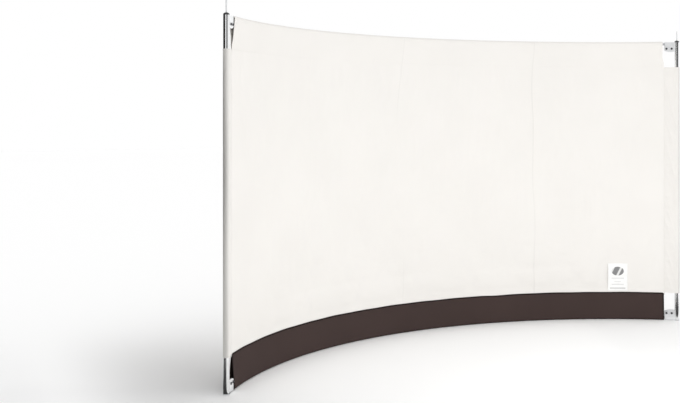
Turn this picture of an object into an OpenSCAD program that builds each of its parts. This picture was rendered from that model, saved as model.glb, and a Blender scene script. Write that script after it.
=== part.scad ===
// Free-standing curved beach windbreak: one canvas bay stretched between two upright tubes
// on two bent bows, one in a tunnel along the top edge and one in a tunnel along the ground.
// Millimetres, +Z up. The bay curves in plan and stands on its own: its hollow side, where
// people sit, faces -Y, and the two posts are mirror images of each other about X = 0.
// Origin: on the ground, in the middle of the part's box.

/* [Bay] */
// Length of the curve between the two post axes
bay_length = 3030; // [1800:10:3800]
// Angle that the curve turns through between the posts
bay_sweep = 90; // [60:1:110]
// Ground to the top of the post caps
post_height = 1500; // [1200:10:1800]
// How far the cloth's top edge lies below the top of the caps
cloth_drop = 6; // [4:1:20]

/* [Posts] */
// Outside diameter of an upright tube
post_d = 25; // [20:0.5:32]
// Wall of an upright tube
post_wall = 1.5; // [1:0.1:3]
// Height of the domed cap, rim and dome together
cap_height = 10; // [8:0.5:16]
// Height of the cap's straight rim
cap_rim = 4; // [2:0.5:6]
// Thickness of the foot plug under the tube
foot_height = 4; // [3:0.5:10]
// Length of the plug inside the tube, on caps and feet
plug_length = 22; // [10:1:40]
// Radial clearance of the plugs in the tube
plug_fit = 0.15; // [0.05:0.05:0.5]

/* [Guy pins] */
// Diameter of the pin that stands on a cap, for a guy line's eyelet
pin_d = 6; // [5.5:0.5:8]
// Diameter of the stud that holds the pin in the cap
stud_d = 5; // [3:0.5:5]
// Length of the pin above the cap
pin_height = 50; // [30:1:80]
// Chamfer on the pin's top end
pin_chamfer = 1; // [0.5:0.25:2]
// Radial clearance of the stud in the cap
stud_fit = 0.05; // [0.02:0.01:0.2]

/* [Bows] */
// Outside diameter of the bent tubes
bow_d = 14; // [10:0.5:16]
// Wall of the bent tubes
bow_wall = 1.5; // [1:0.1:2]
// Gap between a bow's end and the post
bow_end_gap = 2; // [1:0.5:5]

/* [Corner brackets] */
// Length of a bracket from the post axis
bracket_length = 63; // [52:1:64]
// Height of a bracket's cheeks at the top of their arch
bracket_height = 52; // [45:1:60]
// Sheet thickness of a bracket
bracket_sheet = 2; // [1.5:0.1:2.2]
// Gap between a bow and the bracket's cheeks
bracket_clearance = 0.6; // [0.5:0.05:0.9]
// Gap between a bow and the bracket's spine
spine_clearance = 0.5; // [0.3:0.1:0.6]
// Gap between bracket and post, filled by the weld
weld_gap = 0.2; // [0.1:0.05:0.4]
// Distance of the arch's highest point from the post axis
arch_peak = 32; // [26:1:40]
// Radius of the arch
arch_radius = 66; // [55:1:90]

/* [Bracket bolts] */
// Diameter of a bolt's shank
bolt_d = 6; // [5:0.5:8]
// Radial clearance of a bolt in the cheeks
bolt_fit = 0.3; // [0.2:0.05:0.6]
// Width across the corners of a bolt's head and nut
bolt_head_d = 11.5; // [10:0.5:14]
// Thickness of a bolt's head and nut
bolt_head_height = 4; // [3:0.5:6]
// Distance of the bolt next to the post from the post axis
bolt_near = 28; // [26:1:32]
// Distance of the bolt next to the cloth from the post axis
bolt_far = 55; // [50:1:56]
// Height of both bolts above the bracket's spine
bolt_rise = 35; // [28:1:36]

/* [Cloth] */
// Thickness of the canvas, the hems and the band
cloth = 1; // [0.8:0.1:1.6]
// Gap between a bow and the tunnel of cloth around it
tunnel_clearance = 4.5; // [2.5:0.1:6]
// Gap between a post and the sleeve around it
sleeve_clearance = 1; // [0.6:0.1:2]
// Depth of the top hem, from its fold down to its seam
hem_depth = 137; // [100:1:180]
// Height of the dark band on the ground, up to its seam
band_height = 146; // [100:1:180]
// Distance of the canvas's side edges from the post axes
side_gap = 67; // [66:1:90]
// Gap between two pieces of cloth at a seam, filled by the stitches
seam_gap = 0.2; // [0.1:0.05:0.4]

/* [Care label] */
// Width of the label
label_width = 105; // [80:1:120]
// Height of the label
label_height = 146; // [100:1:170]
// Thickness of the label
label_thickness = 0.5; // [0.4:0.1:1]
// Gap between the label and the canvas
label_gap = 0.3; // [0.1:0.05:0.4]
// Distance of the label's nearer edge from the post axis
label_from_post = 258; // [100:1:600]
// Height of the label's lower edge above the band
label_above_band = 8; // [2:1:60]

/* [Hidden] */

fine = 64;            // facets of small round pieces in a preview
smooth = 180;         // facets of the swept pieces in a preview
past = 1;             // how far a cutting shape runs past what it cuts
arc_steps = 24;       // flats that make up the round part of a tunnel or sleeve
degree = 180 / PI;    // degrees in one radian

post_r = post_d / 2;
bore_r = post_r - post_wall;
tube_top = post_height - cap_height;
cloth_top = post_height - cloth_drop;
radius = bay_length * degree / bay_sweep;
half_sweep = bay_sweep / 2;

// Angle, seen from the curve's centre, of a length along the curve
function turn(length) = length / radius * degree;

// The tunnels: a round part over the bow, then two flat leaves that meet at the seam
tunnel_r = bow_d / 2 + tunnel_clearance + cloth;
bow_low = tunnel_r;
bow_high = cloth_top - tunnel_r;
canvas_low = band_height + seam_gap;
canvas_high = cloth_top - hem_depth - seam_gap;
sleeve_r = post_r + sleeve_clearance + cloth;

// Brackets, seen along the bow: the spine lies outside the bow, the cheeks beside it
cheek_gap = bow_d + 2 * bracket_clearance;
bracket_width = cheek_gap + 2 * bracket_sheet;
spine_out = bow_d / 2 + spine_clearance + bracket_sheet;
bracket_low = bow_low - spine_out;
bracket_high = bow_high + spine_out;
bracket_turn = turn(bracket_length / 2);
sleeve_turn = turn(side_gap / 2);

// The part's box, so that the origin lies in its middle
near_y = radius * cos(half_sweep) - sleeve_r;
far_y = radius + tunnel_r;
centre_y = -(near_y + far_y) / 2;

// ---- places -------------------------------------------------------------

// Puts children at a post: local X runs along the curve towards the middle of the bay,
// local Y towards the hollow side, Z up. side is 1 for the right post, -1 for the left.
module at_post(side) {
    mirror([side < 0 ? 1 : 0, 0, 0])
        translate([radius * sin(half_sweep), centre_y + radius * cos(half_sweep), 0])
            rotate([0, 0, 180 - half_sweep])
                children();
}

// Sweeps a flat outline, drawn with X as the distance from the curve's centre and Y as
// the height, along the curve between the angles from and to, counted from the middle.
module along_curve(from, to) {
    translate([0, centre_y, 0])
        rotate([0, 0, 90 - to])
            rotate_extrude(angle = to - from, $fn = smooth)
                children();
}

// The same, over the whole bay, less a length at each end.
module along_bay(end_length) {
    along_curve(turn(end_length) - half_sweep, half_sweep - turn(end_length)) children();
}

// ---- outlines -----------------------------------------------------------

// Angle between a leaf of cloth and the line from the round part to the seam.
function leaf_slope(round_r, reach, seam) =
    asin(round_r / norm([seam / 2, reach])) - atan2(seam / 2, reach);

// Points of an arc round the origin that starts and ends slope degrees below the level.
function over_arc(arc_r, slope) = [
    for (step = [0 : arc_steps])
        let (angle = -slope + (180 + 2 * slope) * step / arc_steps)
            arc_r * [cos(angle), sin(angle)]
];

// Cloth wrapped round a tube and sewn to itself, one sheet thick: an arc round the origin,
// and two leaves that run straight down from it to a seam at the distance reach.
module wrapped_cloth(round_r, reach) {
    slope = leaf_slope(round_r, reach, cloth);
    inside_r = round_r - cloth;
    difference() {
        polygon(concat(over_arc(round_r, slope), [[-cloth / 2, -reach], [cloth / 2, -reach]]));
        polygon(concat(over_arc(inside_r, slope), [[0, -inside_r / sin(slope)]]));
    }
}

// Side view of a bracket's cheek, spine at the bottom, post at the left.
module cheek_outline() {
    intersection() {
        square([bracket_length, bracket_height]);
        translate([arch_peak, bracket_height - arch_radius])
            circle(r = arch_radius, $fn = smooth);
    }
}

// ---- posts --------------------------------------------------------------

module post(side) {
    color("silver")
    at_post(side)
        translate([0, 0, foot_height])
            difference() {
                cylinder(r = post_r, h = tube_top - foot_height, $fn = fine);
                translate([0, 0, -past])
                    cylinder(r = bore_r, h = tube_top - foot_height + 2 * past, $fn = fine);
            }
}

module post_cap(side) {
    dome_height = cap_height - cap_rim;
    dome_r = (post_r * post_r + dome_height * dome_height) / (2 * dome_height);
    color([0.08, 0.08, 0.09])
    at_post(side)
        translate([0, 0, tube_top])
            difference() {
                union() {
                    cylinder(r = post_r, h = cap_rim, $fn = fine);
                    translate([0, 0, -plug_length])
                        cylinder(r = bore_r - plug_fit, h = plug_length + past, $fn = fine);
                    intersection() {
                        translate([0, 0, cap_rim])
                            cylinder(r = post_r, h = dome_height, $fn = fine);
                        translate([0, 0, cap_height - dome_r])
                            sphere(r = dome_r, $fn = fine);
                    }
                }
                translate([0, 0, -plug_length - past])
                    cylinder(r = stud_d / 2 + stud_fit,
                             h = plug_length + cap_height + 2 * past, $fn = fine);
            }
}

// A pin whose shoulder stands on the dome, with a thinner stud down through the cap.
module guy_pin(side) {
    straight = pin_height - pin_chamfer;
    color("gainsboro")
    at_post(side)
        translate([0, 0, post_height])
            union() {
                translate([0, 0, -cap_height - plug_length])
                    cylinder(r = stud_d / 2, h = cap_height + plug_length + past, $fn = fine);
                cylinder(r = pin_d / 2, h = straight, $fn = fine);
                translate([0, 0, straight])
                    cylinder(r1 = pin_d / 2, r2 = pin_d / 2 - pin_chamfer,
                             h = pin_chamfer, $fn = fine);
            }
}

module foot(side) {
    color("dimgray")
    at_post(side)
        union() {
            cylinder(r = post_r, h = foot_height, $fn = fine);
            cylinder(r = bore_r - plug_fit, h = foot_height + plug_length, $fn = fine);
        }
}

// ---- brackets and their bolts --------------------------------------------

// Draws children, made for the bottom bracket, at a corner of the bay. Local X runs along
// the bow and Z = 0 is the outer face of the spine.
module at_corner(side, top) {
    at_post(side)
        rotate([0, 0, bracket_turn])
            translate([0, 0, top ? bracket_high : bracket_low])
                mirror([0, 0, top ? 1 : 0])
                    children();
}

// A folded channel: two arched cheeks and a spine, cut to sit on the post's flank.
module bracket(side, top) {
    color([0.82, 0.83, 0.84])
    at_corner(side, top)
        difference() {
            translate([0, bracket_width / 2, 0])
                rotate([90, 0, 0])
                    linear_extrude(bracket_width)
                        cheek_outline();
            translate([-past, -cheek_gap / 2, bracket_sheet])
                cube([bracket_length + 2 * past, cheek_gap, bracket_height]);
            translate([0, 0, -past])
                cylinder(r = post_r + weld_gap, h = bracket_height + 2 * past, $fn = fine);
            for (along = [bolt_near, bolt_far])
                translate([along, bracket_width / 2 + past, bolt_rise])
                    rotate([90, 0, 0])
                        cylinder(r = bolt_d / 2 + bolt_fit,
                                 h = bracket_width + 2 * past, $fn = fine);
        }
}

// Two bolts across the cheeks, each with a six-sided head and a nut of the same size.
module bracket_bolts(side, top) {
    color([0.2, 0.2, 0.22])
    at_corner(side, top)
        for (along = [bolt_near, bolt_far])
            translate([along, 0, bolt_rise])
                rotate([90, 0, 0])
                    union() {
                        cylinder(r = bolt_d / 2, h = bracket_width + past,
                                 center = true, $fn = fine);
                        for (end = [0, 1])
                            mirror([0, 0, end])
                                translate([0, 0, bracket_width / 2])
                                    cylinder(r = bolt_head_d / 2,
                                             h = bolt_head_height, $fn = 6);
                    }
}

// ---- bows ---------------------------------------------------------------

module bow(height) {
    color("lightgray")
    along_bay(post_r + bow_end_gap)
        translate([radius, height])
            difference() {
                circle(d = bow_d, $fn = fine);
                circle(d = bow_d - 2 * bow_wall, $fn = fine);
            }
}

// ---- cloth --------------------------------------------------------------

module canvas_panel() {
    color([0.96, 0.95, 0.92])
    along_bay(side_gap)
        translate([radius - cloth / 2, canvas_low])
            square([cloth, canvas_high - canvas_low]);
}

module top_hem() {
    color([0.95, 0.94, 0.91])
    along_bay(side_gap)
        translate([radius, bow_high])
            wrapped_cloth(tunnel_r, hem_depth - tunnel_r);
}

module bottom_band() {
    color([0.27, 0.22, 0.21])
    along_bay(side_gap)
        translate([radius, bow_low])
            mirror([0, 1])
                wrapped_cloth(tunnel_r, band_height - tunnel_r);
}

// A sleeve hangs round its post and is sewn to the canvas's side edge.
module sleeve(side) {
    color([0.93, 0.92, 0.9])
    at_post(side)
        rotate([0, 0, sleeve_turn])
            translate([0, 0, canvas_low])
                linear_extrude(canvas_high - canvas_low)
                    rotate(90)
                        wrapped_cloth(sleeve_r, side_gap - seam_gap);
}

module care_label() {
    low = band_height + label_above_band;
    near = half_sweep - turn(label_from_post);
    color("white")
    along_curve(near - turn(label_width), near)
        translate([radius - cloth / 2 - label_gap - label_thickness, low])
            square([label_thickness, label_height]);
}

post(-1);  // left_post
post(1);  // right_post
post_cap(-1);  // left_post_cap
post_cap(1);  // right_post_cap
guy_pin(-1);  // left_guy_pin
guy_pin(1);  // right_guy_pin
foot(-1);  // left_foot
foot(1);  // right_foot
bracket(-1, true);  // left_top_bracket
bracket(1, true);  // right_top_bracket
bracket(-1, false);  // left_bottom_bracket
bracket(1, false);  // right_bottom_bracket
bracket_bolts(-1, true);  // left_top_bolts
bracket_bolts(1, true);  // right_top_bolts
bracket_bolts(-1, false);  // left_bottom_bolts
bracket_bolts(1, false);  // right_bottom_bolts
bow(bow_high);  // top_bow
bow(bow_low);  // bottom_bow
canvas_panel();
top_hem();
bottom_band();
sleeve(-1);  // left_sleeve
sleeve(1);  // right_sleeve
care_label();
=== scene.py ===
# %% [markdown]
# # A free-standing curved beach windbreak
# The metal and plastic parts come from the CAD model and are only given better finishes
# here. All the cloth is made here: the canvas, the dark band along the ground, the sleeves
# round the posts, the sewn label and the stitches. Everything is in metres, +Z up, in the CAD
# model's own frame.

# %% Load the frame
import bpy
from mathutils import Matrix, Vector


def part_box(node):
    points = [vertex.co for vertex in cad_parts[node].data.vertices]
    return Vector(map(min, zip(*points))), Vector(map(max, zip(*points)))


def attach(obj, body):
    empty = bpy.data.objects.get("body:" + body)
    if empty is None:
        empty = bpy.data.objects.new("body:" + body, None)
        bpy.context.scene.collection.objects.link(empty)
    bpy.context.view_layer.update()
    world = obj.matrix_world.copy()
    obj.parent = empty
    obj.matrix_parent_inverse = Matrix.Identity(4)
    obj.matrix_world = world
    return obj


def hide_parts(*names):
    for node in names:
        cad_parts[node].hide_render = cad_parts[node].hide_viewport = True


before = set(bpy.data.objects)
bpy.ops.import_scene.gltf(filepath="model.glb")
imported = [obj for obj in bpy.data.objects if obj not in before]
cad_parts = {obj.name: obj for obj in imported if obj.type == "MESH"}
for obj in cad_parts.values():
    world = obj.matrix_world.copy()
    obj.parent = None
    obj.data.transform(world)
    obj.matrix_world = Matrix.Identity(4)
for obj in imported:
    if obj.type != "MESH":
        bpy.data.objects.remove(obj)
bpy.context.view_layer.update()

# %% Tools
import math

import bpy
import numpy as np

MM = 0.001
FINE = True

# %% [markdown]
# ## Camera
# The windbreak is seen from its hollow side, from nearer its left post. The camera is level,
# so both posts stay upright in the view. Tilting it would make them lean. Instead the lens is
# shifted down, as on a view camera, until the whole bay is in the frame.

# %% Camera
CAMERA_PLACE = (-3.350, -3.984, 1.087)
CAMERA_TURN = math.radians(34.30)      # from straight ahead towards +X
camera = bpy.data.objects.new("camera", bpy.data.cameras.new("camera"))
bpy.context.scene.collection.objects.link(camera)
camera.location = CAMERA_PLACE
camera.rotation_euler = (math.radians(90), 0, -CAMERA_TURN)
camera.data.sensor_width = 36
camera.data.lens = 56.37
camera.data.shift_y = -0.1235
bpy.context.scene.camera = camera
print("camera at", CAMERA_PLACE, "with a lens of", camera.data.lens, "mm")

# %% [markdown]
# ## The curve that everything follows
# In plan the bay is a quarter of a circle. Its radius and centre follow from where the posts
# stand, and the heights of the hems follow from the CAD boxes, so nothing is typed twice.

# %% Sizes from the frame
SWEEP = math.radians(90)


def middle(node):
    """The middle of a CAD node's box, as an array."""
    low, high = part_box(node)
    return (np.array(low) + np.array(high)) / 2


post_x, post_y = middle("right_post")[:2]
POST_R = (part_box("right_post")[1].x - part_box("right_post")[0].x) / 2
RADIUS = post_x / math.sin(SWEEP / 2)
CENTRE_Y = post_y - RADIUS * math.cos(SWEEP / 2)
HALF = RADIUS * SWEEP / 2              # length of the curve from its middle to a post
TUNNEL_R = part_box("top_hem")[1].y - CENTRE_Y - RADIUS
HEM_TOP, HEM_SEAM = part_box("top_hem")[1].z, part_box("top_hem")[0].z
BAND_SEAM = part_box("bottom_band")[1].z
SLEEVE_LOW, SLEEVE_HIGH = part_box("right_sleeve")[0].z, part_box("right_sleeve")[1].z
SIDE_GAP = HALF - RADIUS * math.asin(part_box("canvas_panel")[1].x / (RADIUS + 0.5 * MM))
label_low, label_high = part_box("care_label")
LABEL_FROM = RADIUS * math.asin(label_low.x / RADIUS)
LABEL_TO = RADIUS * math.asin(label_high.x / RADIUS)
LABEL_LOW, LABEL_TALL = label_low.z, label_high.z - label_low.z
LABEL_WIDE = LABEL_TO - LABEL_FROM
print(f"radius {RADIUS:.3f} m, {2 * HALF:.2f} m between posts, cloth {SIDE_GAP:.3f} m short")


def on_curve(along, out, up):
    """Points on or beside the curve.

    along is the length from the middle of the bay, positive to the right; out is the distance
    outside the circle, positive on the bulging side; up is the height. With the angle
    a = along / radius, x = (radius + out) sin a and y = centre + (radius + out) cos a.
    """
    along, out, up = np.broadcast_arrays(along, out, up)
    angle = along / RADIUS
    reach = RADIUS + out
    return np.stack([reach * np.sin(angle), CENTRE_Y + reach * np.cos(angle), up], axis=-1)


# %% [markdown]
# ## Surfaces from arrays
# A sheet of cloth is a function of two lengths: one across it and one along it. Working the
# whole grid out as one array and handing it to Blender at once is quick, and the two lengths
# double as a UV map in metres. The weave then follows the cloth round every fold, which a
# pattern on object coordinates wouldn't.

# %% Grid to mesh
def grid_piece(name, points, lengths, flip=False, dirt_and_painted_shade=None):
    """A smooth mesh from points[i, j], with lengths[i, j] in metres as the UV map "cloth".

    Each cell of the grid becomes one four-sided face: (i, j), (i+1, j), (i+1, j+1), (i, j+1).
    flip turns the faces round; the last argument, if given, says for each point how much the
    cloth is darkened there, mostly by painted shade.
    """
    rows, columns = points.shape[:2]
    index = np.arange(rows * columns).reshape(rows, columns)
    corners = [slice(None, -1), slice(1, None)]
    around = [(0, 0), (1, 0), (1, 1), (0, 1)][:: -1 if flip else 1]
    faces = np.stack([index[corners[a], corners[b]] for a, b in around], axis=-1)
    uv = np.stack([lengths[corners[a], corners[b]] for a, b in around], axis=-2)
    mesh = bpy.data.meshes.new(name)
    mesh.from_pydata(points.reshape(-1, 3).tolist(), [], faces.reshape(-1, 4).tolist())
    layer = mesh.uv_layers.new(name="cloth")
    layer.data.foreach_set("uv", uv.reshape(-1).astype(np.float32))
    mesh.shade_smooth()
    if dirt_and_painted_shade is not None:
        painted_shade = mesh.attributes.new("dirt_and_painted_shade", "FLOAT", "POINT")
        painted_shade.data.foreach_set("value", dirt_and_painted_shade.reshape(-1).astype(np.float32))
    piece = bpy.data.objects.new(name, mesh)
    bpy.context.scene.collection.objects.link(piece)
    print(f"{name}: {len(mesh.vertices)} points, {len(mesh.polygons)} faces")
    return piece


def thicken(piece, thickness):
    """Gives a sheet its thickness, half on each side, with closed edges."""
    solid = piece.modifiers.new("thickness", "SOLIDIFY")
    solid.thickness = thickness
    solid.offset = 0
    return piece


# %% [markdown]
# ## Writing shaders as sums
# A material is a graph of nodes. Building it node by node hides the idea, so a small class
# wraps one socket and lets Python's own + - * / and ** add the Math nodes. Every other node
# comes from one method that sets its options first and then its inputs.

# %% Shader expressions
class Wire:
    """One output socket of a node tree, or a bare tree to start from."""

    def __init__(self, tree, socket=None):
        self.tree, self.socket = tree, socket

    def node(self, kind, options=None, inputs=None, out=0):
        """Adds a node: sets its options, then gives each named input a value or a wire."""
        made = self.tree.nodes.new(kind)
        for key, value in (options or {}).items():
            setattr(made, key, value)
        for key, value in (inputs or {}).items():
            if isinstance(value, Wire):
                self.tree.links.new(value.socket, made.inputs[key])
            else:
                made.inputs[key].default_value = value
        return Wire(self.tree, made.outputs[out])

    def math(self, operation, *others):
        """A Math node with this wire first."""
        inputs = dict(enumerate((self, *others)))
        return self.node("ShaderNodeMath", {"operation": operation}, inputs)

    def __add__(self, other): return self.math("ADD", other)
    def __mul__(self, other): return self.math("MULTIPLY", other)
    def __sub__(self, other): return self.math("SUBTRACT", other)
    def __truediv__(self, other): return self.math("DIVIDE", other)
    def __pow__(self, other): return self.math("POWER", other)
    def __rsub__(self, other): return self.math("MULTIPLY", -1.0).math("ADD", other)
    __radd__, __rmul__ = __add__, __mul__

    def between(self, low, high):
        """0 below low, 1 above high, smooth in between."""
        return self.node("ShaderNodeMapRange", {"interpolation_type": "SMOOTHSTEP"},
                         {"Value": self, "From Min": low, "From Max": high})

    def blend(self, first, second):
        """The first colour where this wire is 0, the second where it is 1."""
        options = {"data_type": "RGBA"}
        return self.node("ShaderNodeMix", options, {0: self, 6: first, 7: second}, out=2)

    def parts(self):
        """The x, y and z of a vector."""
        made = self.node("ShaderNodeSeparateXYZ", inputs={"Vector": self})
        return [Wire(self.tree, socket) for socket in made.socket.node.outputs]

    def noise(self, scale, detail=2.0, roughness=0.5):
        """Soft noise from about 0 to 1 at this place; scale is cells a metre."""
        return self.node("ShaderNodeTexNoise", {"noise_dimensions": "3D"},
                         {"Vector": self, "Scale": scale, "Detail": detail,
                          "Roughness": roughness})


def finish_for(name, **constants):
    """A new material with a Principled shader. Returns (material, its tree, the shader)."""
    material = bpy.data.materials.new(name)
    material.use_nodes = True
    tree = material.node_tree
    shader = tree.nodes["Principled BSDF"]
    for key, value in constants.items():
        shader.inputs[key.replace("_", " ")].default_value = value
    return material, Wire(tree), shader


def let_light_through(material, shader, colour, share):
    """Mixes in a Translucent shader, because thin cloth glows with the light behind it."""
    behind = share.node("ShaderNodeBsdfTranslucent", inputs={"Color": (*colour, 1)})
    front = Wire(share.tree, shader.outputs["BSDF"])
    mixed = share.node("ShaderNodeMixShader", inputs={0: share, 1: front, 2: behind})
    output = material.node_tree.nodes["Material Output"]
    share.tree.links.new(mixed.socket, output.inputs["Surface"])


def connect(wire, shader, socket):
    """Feeds a wire into one input of the shader."""
    wire.tree.links.new(wire.socket, shader.inputs[socket])


def bump(height, shader, depth):
    """Turns a height in 0 to 1 into relief of that depth in metres."""
    normal = height.node("ShaderNodeBump", inputs={"Height": height, "Distance": depth,
                                                   "Strength": 1.0})
    connect(normal, shader, "Normal")


# %% [markdown]
# ## Metal and plastic
# The posts are drawn aluminium tube, polished: nearly a mirror, with faint lines along the
# tube from the die and slightly duller patches where hands have held it. The brackets are
# satin, the bolts blackened, and the caps and feet moulded plastic with a fine grain.

# %% Metal finishes
def polished_tube():
    """Drawn tube: streaks are noise squeezed thin across and stretched along the tube."""
    material, start, shader = finish_for("polished_tube", Metallic=1.0)
    place = start.node("ShaderNodeTexCoord", out="Object")
    streaks = place.node("ShaderNodeMapping", inputs={"Vector": place, "Scale": (900, 900, 6)})
    lines = streaks.noise(1.0, 3.0)
    patches = place.noise(14.0, 3.0).between(0.45, 0.7)
    connect(patches.blend((0.86, 0.865, 0.87, 1), (0.78, 0.785, 0.79, 1)), shader, "Base Color")
    connect(0.07 + 0.10 * lines + 0.10 * patches, shader, "Roughness")
    bump(lines, shader, 0.01 * MM)
    return material


def satin_metal(name, light, dark, roughness, metallic=1.0):
    """Pressed or cast metal: fine grain, with duller, darker handling marks."""
    material, start, shader = finish_for(name, Metallic=metallic)
    place = start.node("ShaderNodeTexCoord", out="Object")
    grain = place.noise(1800.0, 2.0)
    marks = place.noise(35.0, 4.0).between(0.4, 0.75)
    connect(marks.blend((*light, 1), (*dark, 1)), shader, "Base Color")
    connect(roughness + 0.12 * marks + 0.08 * grain, shader, "Roughness")
    bump(grain, shader, 0.02 * MM)
    return material


def moulded_plastic(name, colour, roughness):
    """Moulded plastic with a fine spark-eroded grain and faint scuffs."""
    material, start, shader = finish_for(name)
    place = start.node("ShaderNodeTexCoord", out="Object")
    grain = place.noise(2500.0, 1.0)
    scuffs = place.noise(120.0, 4.0).between(0.55, 0.8)
    scuffed = tuple(min(1.0, 1.8 * c + 0.01) for c in colour)
    connect(scuffs.blend((*colour, 1), (*scuffed, 1)), shader, "Base Color")
    connect(roughness + 0.15 * scuffs, shader, "Roughness")
    bump(grain, shader, 0.03 * MM)
    return material


def paint_nodes(material, *nodes):
    """Puts a material on CAD nodes."""
    for node in nodes:
        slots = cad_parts[node].data.materials
        slots.clear()
        slots.append(material)


SIDES, ENDS = ("left", "right"), ("top", "bottom")
CLOTH_NODES = ("canvas_panel", "top_hem", "bottom_band", "left_sleeve", "right_sleeve",
               "care_label")         # these are made anew further down
paint_nodes(polished_tube(), *(f"{side}_post" for side in SIDES))
paint_nodes(satin_metal("pin_steel", (0.80, 0.81, 0.82), (0.70, 0.71, 0.72), 0.4,
                        metallic=0.4),
            *(f"{side}_guy_pin" for side in SIDES))
paint_nodes(satin_metal("bracket_metal", (0.90, 0.91, 0.92), (0.80, 0.81, 0.82), 0.3,
                        metallic=0.45),
            *(f"{side}_{end}_bracket" for side in SIDES for end in ENDS))
paint_nodes(satin_metal("bolt_steel", (0.09, 0.09, 0.10), (0.05, 0.05, 0.055), 0.35),
            *(f"{side}_{end}_bolts" for side in SIDES for end in ENDS))
paint_nodes(satin_metal("bow_metal", (0.66, 0.67, 0.68), (0.55, 0.56, 0.57), 0.3),
            *(f"{end}_bow" for end in ENDS))
paint_nodes(moulded_plastic("cap_plastic", (0.02, 0.02, 0.022), 0.35),
            *(f"{side}_post_cap" for side in SIDES))
paint_nodes(moulded_plastic("foot_plastic", (0.50, 0.51, 0.52), 0.45),
            *(f"{side}_foot" for side in SIDES))
print("metal and plastic on", len(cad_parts) - len(CLOTH_NODES), "CAD nodes")

# %% [markdown]
# ## Woven cloth
# Canvas is a plain weave: each warp thread goes over one weft thread and under the next. On
# the UV map, which is in metres, the sign of sin(pi u / p) sin(pi v / p) says which thread is
# on top in each cell, and the height of that thread is a rounded sine across it. Threads
# also vary in thickness, so a stretched noise along each direction makes the slubs.

# %% Cloth finish
def woven(name, colour, slub, pitch, depth, roughness, sheen, specular,
          painted_darkening=None, through=None):
    """Plain-woven cloth on the UV map "cloth": weave, slubs and soft unevenness of colour.

    The mask before through, if given, is a function of the wires u and v that is 1 where
    painted shade makes the cloth darkest. through, if given, is also such a function: the share
    of light that the cloth lets through.
    """
    material, start, shader = finish_for(name, Sheen_Weight=sheen, Sheen_Roughness=0.45,
                                         Specular_IOR_Level=specular)
    uv = start.node("ShaderNodeUVMap", {"uv_map": "cloth"})
    u, v, _ = uv.parts()
    across, along = u * (math.pi / pitch), v * (math.pi / pitch)
    on_top = (across.math("SINE") * along.math("SINE")).math("GREATER_THAN", 0.0)
    warp, weft = across.math("SINE").math("ABSOLUTE"), along.math("SINE").math("ABSOLUTE")
    thread = on_top * warp + (1 - on_top) * weft
    slubs_up = uv.node("ShaderNodeMapping", inputs={"Vector": uv, "Scale": (420, 14, 1)})
    slubs_across = uv.node("ShaderNodeMapping", inputs={"Vector": uv, "Scale": (14, 420, 1)})
    slubs = slubs_up.noise(1.0, 2.0) + slubs_across.noise(1.0, 2.0)
    cloudy = uv.noise(3.0, 4.0).between(0.3, 0.7)
    # The thread term is painted shade: the colour is lighter on the crown of each thread and
    # darker where it dips under the next.
    shade = 0.45 * cloudy + 0.3 * (slubs - 0.5) + 0.25 * thread
    cloth = shade.blend((*slub, 1), (*colour, 1))
    # Painted shade: where the mask is 1 the colour goes to half the darker colour.
    if painted_darkening:
        cloth = painted_darkening(u, v).blend(cloth, tuple(0.5 * c for c in slub) + (1,))
    connect(cloth, shader, "Base Color")
    connect(roughness + 0.1 * (slubs - 1.0), shader, "Roughness")
    bump(0.7 * thread + 0.3 * slubs, shader, depth)
    if through:
        let_light_through(material, shader, (0.97, 0.95, 0.92), through(u, v))
    return material


# %% [markdown]
# ## Cloth round a tube
# The top hem, the band and the sleeves are all the same idea: cloth goes up one side of a
# tube, round it and back down the other side to a seam. Seen from the end that is a drop. The
# leaves touch the round part as tangents, so the angle between a leaf and the middle line is
# asin(r / reach), where reach is the distance from the tube's axis to the seam.

# %% Outline of wrapped cloth
INSET = 0.7 * MM                     # how far inside an edge a grid gets an extra line


def drop_outline(round_r, reach, gap, leaf_steps, arc_steps):
    """The drop, from the seam up one leaf, round the tube and down the other leaf.

    Returns (side, up) for each point, with the tube's axis at (0, 0), the seam at up = -reach
    and the leaves gap apart there. The leaf angle is s = asin(r / l) - atan(gap / 2 reach),
    where l = sqrt(reach^2 + gap^2 / 4) runs from the axis to the lower end of a leaf.
    """
    slope = math.asin(round_r / math.hypot(gap / 2, reach)) - math.atan2(gap / 2, reach)
    turn = np.linspace(math.pi + slope, -slope, arc_steps + 1)
    arc = round_r * np.stack([np.cos(turn), np.sin(turn)], axis=1)
    share = with_borders(np.linspace(0, 1, leaf_steps + 1), INSET / reach)[:-2, None]
    first = np.array([-gap / 2, -reach]) * (1 - share) + arc[0] * share
    last = (np.array([gap / 2, -reach]) * (1 - share) + arc[-1] * share)[::-1]
    return np.concatenate([first, arc, last])


def with_borders(values, inset):
    """Adds a value just inside each end, so that shading turns only at the very edge."""
    return np.concatenate([values[:1], values[:1] + inset, values[1:-1],
                           values[-1:] - inset, values[-1:]])


def path_lengths(path):
    """Length along a path to each of its points."""
    return np.concatenate([[0], np.cumsum(np.linalg.norm(np.diff(path, axis=0), axis=1))])


def smooth_step(value, low, high):
    """0 below low, 1 above high, and 3t^2 - 2t^3 in between."""
    share = np.clip((value - low) / (high - low), 0, 1)
    return share * share * (3 - 2 * share)


def bell(value, width):
    """exp(-(value / width)^2)."""
    return np.exp(-(value / width) ** 2)
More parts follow.
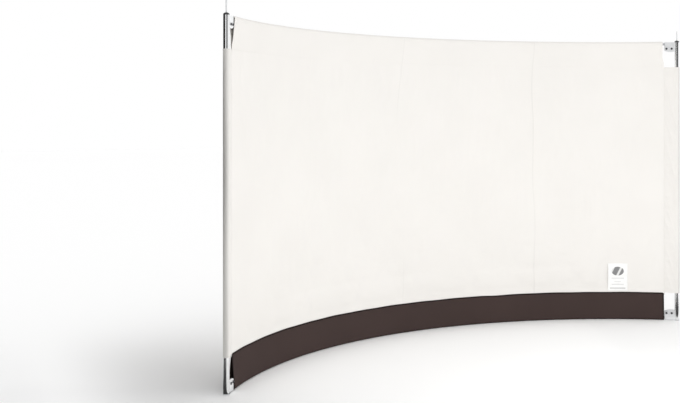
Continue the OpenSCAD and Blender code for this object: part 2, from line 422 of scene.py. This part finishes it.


# %% [markdown]
# ## Letting cloth settle
# Drawn surfaces are too even for cloth. Blender's Cloth modifier lets a sheet find its own
# unevenness: the sewn edges are pinned, the sheet is made a fraction of a percent too large,
# and gravity does the rest. A fine grid would be slow to simulate, so the sheet settles as a
# coarse copy, and its movement is carried over to the fine grid by interpolation.
#
# Left alone, parts of the cloth sag and ripple more than taut canvas should. Each movement is
# therefore cut back to a limit that was chosen, along with the slack. The result is
# a look that starts from a simulation, and says nothing about how the real cloth hangs.

# %% Settling
def settle(points, pinned, slack, frames, most, post=None):
    """Simulates a grid of cloth and returns how far each point moved, at most `most`.

    points[i, j] is the sheet at rest, pinned[i, j] is True where it is sewn down, slack is the
    share by which the cloth is larger than its place, and post is a collider's (x, y, radius).
    """
    if not FINE:
        return np.zeros_like(points)
    rows, columns = points.shape[:2]
    lengths = np.zeros((rows, columns, 2))
    sheet = grid_piece("settling", points, lengths)
    group = sheet.vertex_groups.new(name="pinned")
    group.add([int(k) for k in np.flatnonzero(pinned.reshape(-1))], 1.0, "REPLACE")
    cloth = sheet.modifiers.new("cloth", "CLOTH")
    cloth.settings.quality = 5
    cloth.settings.mass = 0.05
    cloth.settings.vertex_group_mass = "pinned"
    cloth.settings.shrink_min = -slack
    cloth.settings.tension_stiffness = cloth.settings.compression_stiffness = 40
    cloth.settings.shear_stiffness = 20
    cloth.settings.bending_stiffness = 0.6
    cloth.settings.tension_damping = cloth.settings.compression_damping = 20
    cloth.point_cache.frame_start, cloth.point_cache.frame_end = 1, frames
    collider = None
    if post:
        bpy.ops.mesh.primitive_cylinder_add(vertices=48, radius=post[2], depth=2.0,
                                            location=(post[0], post[1], 0.75))
        collider = bpy.context.object
        collider.modifiers.new("collision", "COLLISION")
        collider.collision.thickness_outer = 0.5 * MM
        cloth.collision_settings.distance_min = 0.5 * MM
    for frame_number in range(1, frames + 1):
        bpy.context.scene.frame_set(frame_number)
    shaped = sheet.evaluated_get(bpy.context.evaluated_depsgraph_get()).to_mesh()
    moved = np.empty(rows * columns * 3, dtype=np.float32)
    shaped.vertices.foreach_get("co", moved)
    moved = moved.reshape(points.shape) - points
    for helper in (sheet, collider):
        if helper:
            bpy.data.objects.remove(helper)
    far = np.linalg.norm(moved, axis=2, keepdims=True)
    moved = moved * np.minimum(1, most / np.maximum(far, 1e-9))
    print(f"settled {rows} x {columns} points, the furthest by {far.max() / MM:.1f} mm; "
          f"{(far > most).mean():.0%} of them cut back to {most / MM:.1f} mm")
    bpy.context.scene.frame_set(1)
    return moved


def spread(moved, rows_at, columns_at, rows_to, columns_to):
    """Carries movements from a coarse grid to a fine one, straight between its lines."""
    step = np.empty((len(rows_to), moved.shape[1], 3))
    for k in range(moved.shape[1]):
        for axis in range(3):
            step[:, k, axis] = np.interp(rows_to, rows_at, moved[:, k, axis])
    fine = np.empty((len(rows_to), len(columns_to), 3))
    for k in range(len(rows_to)):
        for axis in range(3):
            fine[k, :, axis] = np.interp(columns_to, columns_at, step[k, :, axis])
    return fine


# %% [markdown]
# ## The canvas
# One sheet of off-white canvas runs from inside the dark band up the hollow side, over the
# top bow and a hand's breadth down the back, where it is stitched to itself. It was stored
# folded in four by hand, so upright creases still show near the quarters. Painted shade
# darkens the colour along them and on the fold over the bow. How much each point is darkened
# travels with the mesh as an attribute, which the material reads.

# %% Canvas cloth and outline
CANVAS_THICK = 0.8 * MM
TUCK = 12 * MM                       # cloth hidden between the two leaves of the band
SEWN = 4 * MM                        # cloth hidden between the two leaves of a sleeve
EDGE = HALF - SIDE_GAP
HEM_REACH = HEM_TOP - TUNNEL_R - HEM_SEAM
BACK_RUN = 0.165                     # from just short of the hem's top to the canvas's end


def painted_shade_on(u, _):
    """How much painted shade darkens the cloth, from the attribute that its mesh carries."""
    return u.node("ShaderNodeAttribute", {"attribute_name": "dirt_and_painted_shade"}, out=2)


def glow(u, v):
    """The share of light that gets into the hem through its back leaf, near its open ends.

    This is for the look only. The cloth is no thinner there.
    """
    fold = HEM_SEAM - BAND_SEAM + TUCK + HEM_REACH
    return (0.3 * v.between(fold + 10 * MM, fold + 16 * MM)
            * u.math("ABSOLUTE").between(EDGE - 0.12, EDGE - 0.05))


# The mesh attribute read here is painted shade. It darkens the canvas along its creases and at
# the fold over the bow, and it darkens the sleeves on their outer sides.
canvas_cloth = woven("canvas_cloth", (0.850, 0.829, 0.798), (0.815, 0.794, 0.763),
                     0.9 * MM, 0.18 * MM, 0.9, 0.04, 0.25, painted_shade_on, glow)


def canvas_path():
    """(out, up) of the canvas from its lower edge to the stitched edge at the back."""
    drop = drop_outline(TUNNEL_R - CANVAS_THICK / 2, HEM_REACH, 2 * CANVAS_THICK, 12, 14)
    drop = drop + (CANVAS_THICK, HEM_TOP - TUNNEL_R)
    height = np.linspace(BAND_SEAM - TUCK, HEM_SEAM, 110)[:-1]
    front = np.stack([np.zeros_like(height), height], axis=1)
    # Below its seam the back leaf goes on for 9 mm.
    allowance = drop[-1] + [[0, -8.3 * MM], [0, -9 * MM]]
    return np.concatenate([front, drop, allowance])


print(f"canvas: {path_lengths(canvas_path())[-1]:.3f} m from the band to the stitched edge")

# %% [markdown]
# ## Creases and wrinkles
# Relief is a sum of bells. A crease is a narrow bell on a wide one, drawn round a line that
# wanders a little. A wrinkle is a bell that is long one way and narrow the other. The grid
# gets extra columns beside the creases, or a bell 4 mm wide would fall between its points.

# %% Creases and wrinkles
CREASE_COLUMNS = (-0.705, -0.057, -0.085, 0.738)     # near these the grid is finer


def crease_lines(along, up):
    """Creases left by folding. Returns their relief and the painted shade along them.

    Each line wanders a little with the height. The middle one fades halfway up, where the
    cloth has pulled flat. height = strength (1.1 mm bell(d, 4 mm) + 1.6 mm bell(d, 40 mm)),
    where d is the distance from the line; painted shade = |strength| bell(d, 2.5 mm).
    """
    share = (up - BAND_SEAM) / (HEM_TOP - BAND_SEAM)
    middle_line = -0.055 - 0.035 * bell(share - 0.68, 0.16) + 0.004 * np.sin(14 * share)
    ends_only = 0.12 + 0.88 * (smooth_step(share, 0.66, 0.76) + 1 - smooth_step(share, 0.08, 0.2))
    right_line = 0.738 + 0.006 * np.sin(5 * share + 1) - 0.004 * np.sin(17 * share)
    left_line = -0.705 + 0.008 * np.sin(6 * share)
    whole = 0.75 + 0.25 * np.cos(9 * share)
    relief, painted_shade = np.zeros((2, *np.broadcast(along, up).shape))
    for line, strength in ((middle_line, 0.5 * ends_only), (right_line, -whole),
                           (left_line, 0.15 * whole)):
        far = along - line
        relief += strength * (1.1 * MM * bell(far, 0.004) + 1.6 * MM * bell(far, 0.040))
        painted_shade += np.abs(strength) * bell(far, 0.0025)
    return relief, painted_shade


def soft_wrinkles(along, up, seed, count, length, width, depth):
    """Short shallow wrinkles: each is a long bell, lying at its own place and angle."""
    random = np.random.default_rng(seed)
    total = np.zeros(np.broadcast(along, up).shape)
    for _ in range(count):
        at_along = random.uniform(-EDGE, EDGE)
        at_up = random.uniform(BAND_SEAM + 0.1, HEM_TOP - 0.1)
        angle = random.normal(math.radians(75), math.radians(22))
        longways = (along - at_along) * math.cos(angle) + (up - at_up) * math.sin(angle)
        sideways = (up - at_up) * math.cos(angle) - (along - at_along) * math.sin(angle)
        size = random.uniform(0.6, 1.4)
        total += (depth * random.choice((-1, 1)) * bell(longways, length * size)
                  * bell(sideways, width * size))
    return total


def columns_for(half_width, spacing):
    """Columns across the cloth, evenly spaced, with extra ones beside each crease."""
    even = np.linspace(-half_width, half_width, int(2 * half_width / spacing) + 1)
    near = np.arange(-5, 6) * 3.0 * MM
    extra = [line + near for line in CREASE_COLUMNS]
    whole = np.unique(np.round(np.concatenate([even, *extra]), 4))
    whole = whole[np.concatenate([[True], np.diff(whole) > 0.9 * MM])]
    return with_borders(whole, INSET)


print(f"{len(columns_for(EDGE, 12 * MM))} columns across the canvas")

# %% [markdown]
# ## Building the canvas
# The part between the band and the hem settles first, as a coarse grid pinned at its
# borders. Its movement, the creases and the wrinkles are then added to the drawn path. They
# fade out at the band and under the label. The movement ends at the hem's seam, and the
# creases and wrinkles end just short of the hem's top.

# %% Canvas
def canvas_piece():
    """The canvas as a grid over the columns and its path, after settling."""
    path = canvas_path()
    run = path_lengths(path)
    across = columns_for(EDGE + SEWN, 12 * MM)
    # Coarse copy of the free part, pinned at its borders.
    free_rows = np.linspace(BAND_SEAM, HEM_SEAM, 44)
    free_columns = np.linspace(-EDGE, EDGE, 104)
    rest = on_curve(free_columns[None, :], 0.0, free_rows[:, None])
    pinned = np.zeros(rest.shape[:2], dtype=bool)
    pinned[0] = pinned[-1] = pinned[:, 0] = pinned[:, -1] = True
    moved = settle(rest, pinned, 0.0012, 24, 2.5 * MM)
    front = path[:, 0] == 0
    carried = np.zeros((len(across), len(path), 3))
    carried[:, front] = spread(moved, free_rows, free_columns,
                               path[front, 1], across).transpose(1, 0, 2)
    across = across[:, None]
    out, up = path[None, :, 0], path[None, :, 1]
    # Beside the sleeves the cloth runs on into their seams; the hem's ends are cut back.
    side = SEWN * (1 - smooth_step(up, HEM_SEAM - 6 * MM, HEM_SEAM))
    side = side - 8 * MM * smooth_step(up, HEM_SEAM + 15 * MM, HEM_SEAM + 55 * MM)
    along = across * (EDGE + side) / (EDGE + SEWN)
    held = smooth_step(up, BAND_SEAM - 5 * MM, BAND_SEAM + 40 * MM)
    back = run[None, :] > run.max() - BACK_RUN
    creases, painted_shade = crease_lines(along, up)
    relief = (creases + soft_wrinkles(along, up, 5, 45, 0.11, 0.016, 0.3 * MM)) \
        * np.where(back, 0, held)
    # Painted shade darkens the creases on the front and the fold over the bow, around its top.
    top_run = run[np.argmax(path[:, 1])]
    dirt_and_painted_shade = 0.17 * painted_shade * ~back + 0.14 * bell(run[None, :] - top_run + 6 * MM, 0.010)
    # The canvas lies still and flat under the label.
    under = bell(along - (LABEL_FROM + LABEL_TO) / 2, 0.11) \
        * bell(up - LABEL_LOW - LABEL_TALL / 2, 0.13) * (out == 0)
    under = 1 - smooth_step(under, 0.25, 0.45)
    relief, carried = relief * under, carried * under[..., None]
    points = on_curve(along, out + relief, up) + carried
    lengths = np.stack(np.broadcast_arrays(across, run[None, :]), axis=-1)
    piece = grid_piece("canvas", points, lengths, dirt_and_painted_shade=dirt_and_painted_shade)
    piece.data.materials.append(canvas_cloth)
    return thicken(piece, CANVAS_THICK), run.max()


canvas, canvas_run = canvas_piece()
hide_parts("canvas_panel", "top_hem")
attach(canvas, "root")
2 * (EDGE + SEWN)

# %% [markdown]
# ## The band on the ground
# A strip of dark brown cloth takes the wear and the wet. It wraps the bottom bow and is
# stitched to both faces of the canvas, so the same drop outline is used, turned over. Its
# edges are turned in and sewn down, which leaves a thicker border, and painted shade
# darkens the colour along that border.

# %% Band
BAND_REACH = BAND_SEAM - TUNNEL_R
BORDER = 8 * MM
BAND_GAP = 2 * CANVAS_THICK + 0.6 * MM
BAND_OUTLINE = drop_outline(TUNNEL_R - CANVAS_THICK / 2, BAND_REACH, BAND_GAP, 14, 16)
BAND_RUN = path_lengths(BAND_OUTLINE)


def band_border_shade(u, v):
    """1 in the turned-in border of the band, within 8 mm of its long edges and its ends, where
    painted shade darkens the band.
    """
    inside = (v.between(BORDER - 1 * MM, BORDER + 0.5 * MM)
              * (BAND_RUN[-1] - v).between(BORDER - 1 * MM, BORDER + 0.5 * MM)
              * (EDGE - u.math("ABSOLUTE")).between(BORDER - 1 * MM, BORDER + 0.5 * MM))
    return 1 - inside


# The border mask darkens the band along its edges: painted shade.
band_cloth = woven("band_cloth", (0.060, 0.041, 0.038), (0.050, 0.035, 0.032),
                   0.8 * MM, 0.15 * MM, 0.95, 0.0, 0.12, band_border_shade)


def band_piece():
    """The band as a grid: the drop outline upside down, carried along the curve."""
    across = columns_for(EDGE, 14 * MM)
    near_end = [-EDGE + BORDER, -EDGE + BORDER + 1.5 * MM]
    across = np.unique(np.concatenate([across, near_end, [-x for x in near_end]]))[:, None]
    side, height = BAND_OUTLINE[None, :, 0], TUNNEL_R - BAND_OUTLINE[None, :, 1]
    from_edge = np.minimum(BAND_RUN, BAND_RUN[-1] - BAND_RUN)[None, :]
    from_end = EDGE - np.abs(across)
    # The stitched edge isn't quite straight, and its corners are a little rounded.
    waver = 0.8 * MM * np.sin(9 * across) * np.sin(23 * across + 1) \
        - 2.2 * MM * bell(across - 0.51, 0.06) \
        - 4 * MM * (1 - smooth_step(from_end, 0, 9 * MM)) ** 2
    top = 1 - smooth_step(from_edge, 0, 0.05)
    border = 0.5 * MM * (1 - smooth_step(np.minimum(from_edge, from_end + 0 * side),
                                         BORDER - 1 * MM, BORDER + 1 * MM))
    # The cloth is stiff and slightly cockled between bow and seam.
    cockle = 0.9 * MM * np.sin(7 * across + 2) * np.sin(19 * across) \
        * np.sin(math.pi * np.clip(from_edge / 0.13, 0, 1))
    out = side + np.sign(side) * border + cockle
    points = on_curve(across, out, np.maximum(height + waver * top, CANVAS_THICK / 2))
    lengths = np.stack(np.broadcast_arrays(across, BAND_RUN[None, :]), axis=-1)
    piece = grid_piece("ground_band", points, lengths, flip=True)
    piece.data.materials.append(band_cloth)
    return thicken(piece, CANVAS_THICK)


band = band_piece()
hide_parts("bottom_band")
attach(band, "root")
2 * EDGE

# %% [markdown]
# ## The sleeves
# Each side of the canvas ends in a pocket that slips over the post. The outline is the drop
# again, now seen from above. The pocket is pulled down its post, so wrinkles run from the
# seam down towards the post, most of them near the top.

# %% Sleeve wrinkles
SLEEVE_R = POST_R + 0.6 * MM
SLEEVE_REACH = SIDE_GAP - 2 * MM
PULLS = 34                           # wrinkles in each sleeve


def pull_wrinkles(from_seam, up, seed):
    """Ridges that fall from the seam towards the post: bell(h - h0 + slope q, width)."""
    random = np.random.default_rng(seed)
    total = np.zeros(np.broadcast(from_seam, up).shape)
    reach = SLEEVE_HIGH - SLEEVE_LOW
    for _ in range(PULLS):
        down = reach * random.uniform(0, 1) ** 1.8
        slope, width = random.uniform(1.8, 4.0), random.uniform(9, 18) * MM
        depth = random.uniform(0.8, 2.0) * MM * random.choice((1, 1, -0.7))
        line = up - (SLEEVE_HIGH - down) + slope * from_seam
        place = bell(from_seam - random.uniform(0.02, 0.05), random.uniform(0.025, 0.045))
        total += depth * place * bell(line, width)
    return total


def grid_3d(flat, height):
    """Every point of a plan outline at every height, as points[height, outline]."""
    wide = np.broadcast_to(flat[None, :, :], (len(height), len(flat), 2))
    tall = np.broadcast_to(height[:, None, None], (len(height), len(flat), 1))
    return np.concatenate([wide, tall], axis=2)


def outward_sign(flat, normal):
    """1 if the normals point away from the middle of the outline, -1 if towards it."""
    return 1 if ((flat - flat.mean(axis=0)) * normal).sum() > 0 else -1


print(f"sleeves: {SLEEVE_HIGH - SLEEVE_LOW:.3f} m tall, {PULLS} pull wrinkles each")

# %% [markdown]
# ## Building the sleeves
# Both are worked out at the right post, and the left one is mirrored at the end. They settle
# alike, but each has its own random wrinkles. Near the seam these fade, and round the post
# the cloth is tight.

# %% Sleeves
def sleeve_piece(side, seed):
    """A sleeve as a grid: the drop outline in plan, from the lower edge to the upper one."""
    drop = drop_outline(SLEEVE_R, SLEEVE_REACH, 2 * CANVAS_THICK, 14, 14)
    run = path_lengths(drop)
    height = np.linspace(SLEEVE_LOW, SLEEVE_HIGH, 230 if FINE else 120)
    height = with_borders(height, INSET)
    turned = SWEEP / 2 - SIDE_GAP / 2 / RADIUS
    inward = np.array([-math.cos(turned), math.sin(turned)])      # towards the canvas
    bulging = np.array([math.sin(turned), math.cos(turned)])      # away from the hollow side
    flat = -drop[:, 1:] * inward + drop[:, :1] * bulging + (post_x, post_y)
    tangent = np.gradient(flat, axis=0)
    normal = np.stack([-tangent[:, 1], tangent[:, 0]], axis=1)
    normal /= np.linalg.norm(normal, axis=1, keepdims=True)
    from_seam = np.minimum(run, run[-1] - run)[None, :]
    up = height[:, None]
    sewn = smooth_step(from_seam, 0, 0.012)
    ends = np.minimum(up - SLEEVE_LOW, SLEEVE_HIGH - up)
    tight = 1 - 0.85 * smooth_step(from_seam, SLEEVE_REACH - 0.022, SLEEVE_REACH)
    away = tight * sewn * smooth_step(ends, 0, 0.03) * pull_wrinkles(from_seam, up, seed)
    away = away + 0.4 * MM * (1 - smooth_step(ends, 9 * MM, 11 * MM)) * np.sin(
        np.clip(ends / (9 * MM), 0, 1) * math.pi / 2 + math.pi / 4)
    coarse = np.linspace(SLEEVE_LOW, SLEEVE_HIGH, 90)
    pinned = np.broadcast_to(from_seam < 0.001, (len(coarse), len(run)))
    settled = settle(grid_3d(flat, coarse), pinned, 0.003, 16, 1 * MM,
                     (post_x, post_y, POST_R))
    settled = spread(settled, coarse, run, height, run) * tight[..., None]
    points = grid_3d(flat, height) + settled
    points[..., :2] += np.abs(away)[..., None] * normal[None] * outward_sign(flat, normal)
    points[..., 0] *= 1 if side == "right" else -1
    lengths = np.stack(np.broadcast_arrays(run[None, :], up), axis=-1)
    # The whole sleeve is a little darker, and painted shade darkens its outer side most.
    outer_side_shade = 0.05 + 0.6 * bell(run[None, :] - run[-1] / 2, 0.013) * (0.8 + 0.2 * np.sin(9 * up))
    piece = grid_piece(f"{side}_post_sleeve", points, lengths, flip=side == "right",
                       dirt_and_painted_shade=outer_side_shade)
    piece.data.materials.append(canvas_cloth)
    return thicken(piece, CANVAS_THICK), run.max()


for side, seed in zip(SIDES, (11, 4)):
    sleeve, sleeve_run = sleeve_piece(side, seed)
    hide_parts(f"{side}_sleeve")
    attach(sleeve, "root")

# %% [markdown]
# ## The sewn label
# A white patch near the right post, just above the band. Its print is plain: a striped
# oval and four grey bars. The left edge isn't quite sewn down and stands off the canvas.

# %% Label
def printed(u, v):
    """How dark the print is: the oval ((u - c) / a)^2 + ((v - d) / b)^2 < 1, and the bars."""
    centre = LABEL_WIDE * 0.5
    oval = ((u - centre) / 0.033) ** 2.0 + ((v - 0.104) / 0.024) ** 2.0
    inside = 1 - oval.between(0.94, 1.02)
    stripe = (u - 0.5 * v) * (math.pi / 0.021)
    light = stripe.math("SINE").between(0.45, 0.75)
    ink = 0.78 * inside * (1 - 0.75 * light)
    for middle_v, half_wide, dark in ((0.066, 0.034, 0.26), (0.048, 0.018, 0.20),
                                      (0.033, 0.033, 0.28), (0.0125, 0.042, 0.50)):
        bar = (1 - (u - centre).math("ABSOLUTE").between(half_wide - 1 * MM, half_wide)) \
            * (1 - (v - middle_v).math("ABSOLUTE").between(2 * MM, 2.6 * MM))
        ink = ink + dark * bar
    return ink


def label_material():
    """Fine white polyester weave with grey print."""
    material, start, shader = finish_for("label_cloth", Specular_IOR_Level=0.3)
    uv = start.node("ShaderNodeUVMap", {"uv_map": "cloth"})
    u, v, _ = uv.parts()
    ribs = (v * (math.pi / (0.5 * MM))).math("SINE").math("ABSOLUTE")
    dirt_and_painted_shade = uv.noise(40.0, 3.0).between(0.4, 0.8)
    white = dirt_and_painted_shade.blend((0.93, 0.93, 0.92, 1), (0.89, 0.89, 0.88, 1))
    connect(printed(u, v).blend(white, (0.06, 0.06, 0.065, 1)), shader, "Base Color")
    connect(0.65 + 0.1 * dirt_and_painted_shade, shader, "Roughness")
    bump(ribs, shader, 0.05 * MM)
    return material


def label_piece():
    """The patch as a grid on the canvas, with its left edge lifted towards the viewer."""
    u = with_borders(np.linspace(0, LABEL_WIDE, 40), 0.5 * MM)[:, None]
    v = with_borders(np.linspace(0, LABEL_TALL, 48), 0.5 * MM)[None, :]
    along, up = LABEL_FROM + u, LABEL_LOW + v
    lift = 6 * MM * bell(u, 0.012) * bell(v - 0.085, 0.045)
    ripple = 0.25 * MM * np.sin(70 * u + 30 * v) * np.sin(40 * v)
    out = -(CANVAS_THICK / 2 + 0.9 * MM) - lift - ripple
    patch = grid_piece("label", on_curve(along, out, up),
                       np.stack(np.broadcast_arrays(u, v), axis=-1))
    patch.data.materials.append(label_material())
    return thicken(patch, 0.4 * MM)


label = label_piece()
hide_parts("care_label")
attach(label, "root")

# %% [markdown]
# ## Stitching
# Each stitch is a spindle: two tips and a ring of four points between them. All stitches of
# one colour are one mesh, worked out in a single array and laid along the seams.

# %% Stitch shapes
def spindles(starts, ends, outward, radius):
    """Points and faces of one spindle for each start and end, standing on `outward`."""
    count = len(starts)
    along = (ends - starts) / np.linalg.norm(ends - starts, axis=1, keepdims=True)
    across = np.cross(along, outward)
    centre = (starts + ends) / 2 + outward * radius * 0.6
    ring = [centre + radius * side for side in (across, outward, -across, -outward)]
    points = np.stack([starts, *ring, ends], axis=1).reshape(-1, 3)
    one = np.array([[0, 1, 2], [0, 2, 3], [0, 3, 4], [0, 4, 1],
                    [5, 2, 1], [5, 3, 2], [5, 4, 3], [5, 1, 4]])
    faces = (one[None] + 6 * np.arange(count)[:, None, None]).reshape(-1, 3)
    return points, faces


def seam_along(up, out, pitch=4.6 * MM, length=3.2 * MM, inset=4 * MM):
    """Stitches along the curve at a height. Returns starts, ends and outward directions."""
    start = np.arange(-EDGE + inset, EDGE - inset - length, pitch)
    angle = (start + length / 2) / RADIUS
    away = np.stack([np.sin(angle), np.cos(angle), 0 * angle], axis=1) * np.sign(out)
    return on_curve(start, out, up), on_curve(start + length, out, up), away


def seam_up(along, out, low, high, pitch=4.6 * MM, length=3.2 * MM):
    """Upright stitches at a place along the curve."""
    start = np.arange(low, high - length, pitch)
    angle = np.full_like(start, along / RADIUS)
    away = np.stack([np.sin(angle), np.cos(angle), 0 * angle], axis=1) * np.sign(out)
    return on_curve(along, out, start), on_curve(along, out, start + length), away


print(len(seam_along(HEM_SEAM, 1 * MM)[0]), "stitches in a seam along the hem")

# %% [markdown]
# ## Where the seams run
# The band has a seam on each face. The canvas has one on each face of the hem, one on each
# face at each sleeve, and one along the label's right edge.

# %% Seams
def stitch_piece(name, seams, colour):
    """Joins seams into one piece of thread."""
    starts, ends, away = (np.concatenate(part) for part in zip(*seams))
    points, faces = spindles(starts, ends, away, 0.4 * MM)
    mesh = bpy.data.meshes.new(name)
    mesh.from_pydata(points.tolist(), [], faces.tolist())
    mesh.shade_smooth()
    material, start, shader = finish_for(name + "_thread", Roughness=0.6, Sheen_Weight=0.1)
    place = start.node("ShaderNodeTexCoord", out="Object")
    twist = place.noise(900.0, 2.0)
    connect(twist.blend((*(0.9 * c for c in colour), 1), (*colour, 1)), shader, "Base Color")
    bump(twist, shader, 0.1 * MM)
    mesh.materials.append(material)
    piece = bpy.data.objects.new(name, mesh)
    bpy.context.scene.collection.objects.link(piece)
    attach(piece, "root")
    print(f"{name}: {len(starts)} stitches")


band_face = BAND_GAP / 2 + CANVAS_THICK / 2 + 0.65 * MM
sleeve_face = 1.5 * CANVAS_THICK
band_seams = [seam_along(BAND_SEAM - BORDER, side * band_face) for side in (1, -1)]
canvas_seams = [seam_along(HEM_SEAM + 4 * MM, 2.2 * CANVAS_THICK),
                seam_along(HEM_SEAM + 4 * MM, -0.9 * CANVAS_THICK)]
canvas_seams += [seam_up(end * EDGE, side * sleeve_face,
                         SLEEVE_LOW + 3 * MM, SLEEVE_HIGH - 3 * MM)
                 for end in (1, -1) for side in (1, -1)]
label_out = -(CANVAS_THICK / 2 + 1.15 * MM)
canvas_seams += [seam_up(LABEL_TO - 3 * MM, label_out, LABEL_LOW + 2 * MM,
                         LABEL_LOW + LABEL_TALL - 2 * MM)]
stitch_piece("band_stitching", band_seams, (0.045, 0.032, 0.030))
stitch_piece("canvas_stitching", canvas_seams, (0.80, 0.78, 0.74))

# %% [markdown]
# ## Light and floor
# A plain pale floor and a white surround, as in a studio. Polished metal only looks like
# metal if it has something dark to reflect, so a strip of the surround is dark, but only for
# reflections: diffuse light and the camera see white there.

# %% Surround
WHITE_LEVEL = 1.04


def surround():
    """White all round, but reflections show a dark strip behind the camera, to its right.

    The azimuth is atan2(right, back), 0 towards the camera and positive to its right.
    """
    world = bpy.data.worlds.new("studio")
    bpy.context.scene.world = world
    world.use_nodes = True
    start = Wire(world.node_tree)
    x, y, z = start.node("ShaderNodeTexCoord", out="Generated").parts()
    cosine, sine = math.cos(CAMERA_TURN), math.sin(CAMERA_TURN)
    right, back = x * cosine - y * sine, x * -sine - y * cosine
    azimuth = right.math("ARCTAN2", back) * (180 / math.pi)
    strip = azimuth.between(0, 10) * (1 - azimuth.between(38, 62))
    level = 1 - z.math("ABSOLUTE").between(0.3, 0.6)
    polish = start.node("ShaderNodeLightPath", out="Is Glossy Ray")
    grey = WHITE_LEVEL * (1 - 0.97 * strip * level * polish)
    seen = start.node("ShaderNodeLightPath", out="Is Camera Ray")
    shown = seen.blend(start.node("ShaderNodeCombineColor",
                                  inputs={"Red": grey, "Green": grey, "Blue": grey}),
                       (1, 1, 1, 1))
    background = world.node_tree.nodes["Background"]
    world.node_tree.links.new(shown.socket, background.inputs["Color"])


print("surround at", WHITE_LEVEL)

# %% [markdown]
# ## Board and cards
# A black board stands close beside the left post, so that the tube and its sleeve turn dark
# towards their outer side. Four black cards are there for reflections only, and diffuse light
# ignores them. The camera sees neither the board nor the cards.

# %% Floor, lamp, board and cards
def beside(post, *places):
    """Points given as (to the left of a post, away from the camera, height)."""
    away = np.array([math.sin(CAMERA_TURN), math.cos(CAMERA_TURN)])
    left = np.array([-away[1], away[0]])
    return [(*(np.array(post) + a * left + b * away), height) for a, b, height in places]


def black_card(name, corners, reflections_only=True):
    """A flat black sheet with the given corners, left out of the camera's view."""
    mesh = bpy.data.meshes.new(name)
    mesh.from_pydata([tuple(map(float, corner)) for corner in corners], [], [(0, 1, 2, 3)])
    material, _, shader = finish_for(name, Roughness=1.0)
    shader.inputs["Base Color"].default_value = (0.02, 0.02, 0.02, 1)
    mesh.materials.append(material)
    card = bpy.data.objects.new(name, mesh)
    bpy.context.scene.collection.objects.link(card)
    card.visible_camera = False
    if reflections_only:
        card.visible_diffuse = card.visible_shadow = False


def studio():
    """Floor, lamp, black board and the cards."""
    scene = bpy.context.scene
    scene.view_settings.view_transform = "Standard"
    surround()
    floor, _, shader = finish_for("floor", Roughness=0.9)
    shader.inputs["Base Color"].default_value = (0.96, 0.96, 0.96, 1)
    bpy.ops.mesh.primitive_plane_add(size=60, location=(0, 0, -0.5 * MM))
    plane = bpy.context.object
    plane.name = "floor"
    plane.data.materials.append(floor)
    # A low round lamp at the curve's centre evens out the canvas from top to bottom.
    lamp = bpy.data.objects.new("low_lamp", bpy.data.lights.new("low_lamp", "POINT"))
    scene.collection.objects.link(lamp)
    lamp.location = (0, CENTRE_Y, 0.3)
    lamp.data.energy = 20
    lamp.data.shadow_soft_size = 0.3
    lamp.visible_camera = lamp.visible_glossy = False
    left_post, right_post = (-post_x, post_y), (post_x, post_y)
    black_card("black_board", beside(left_post, (0.34, -0.54, 0.25), (0.75, 0.90, 0.50),
                                     (0.25, 0.90, 1.38), (0.11, -0.19, 1.38)), False)
    # Above it a card goes on for the tube's sake only, so that light reaches the hem's end.
    black_card("upper_card", beside(left_post, (0.11, -0.19, 1.30), (0.35, 1.60, 1.30),
                                    (0.35, 1.60, 2.00), (0.11, -0.19, 2.00)))
    # Seen from the right post, this card reaches from well left of the camera to where the
    # dark strip begins. From the left post it is seen edge on.
    black_card("tall_card", [(-post_x, -1.2, 0.2), (-post_x, -4.6, 0.2),
                             (-post_x, -4.6, 2.4), (-post_x, -1.2, 2.4)])
    # The lower ends of the posts mirror the floor, so these two lie on it.
    low = 1 * MM
    black_card("left_floor_card", beside(left_post, (-0.03, -0.7, low), (0.9, -0.7, low),
                                         (0.9, 0.15, low), (-0.03, 0.15, low)))
    black_card("right_floor_card", beside(right_post, (0.5, -1.4, low), (-0.5, -1.4, low),
                                          (-0.5, -0.1, low), (0.5, -0.1, low)))
    print("floor, lamp of", lamp.data.energy, "W, black board and four cards")


studio()
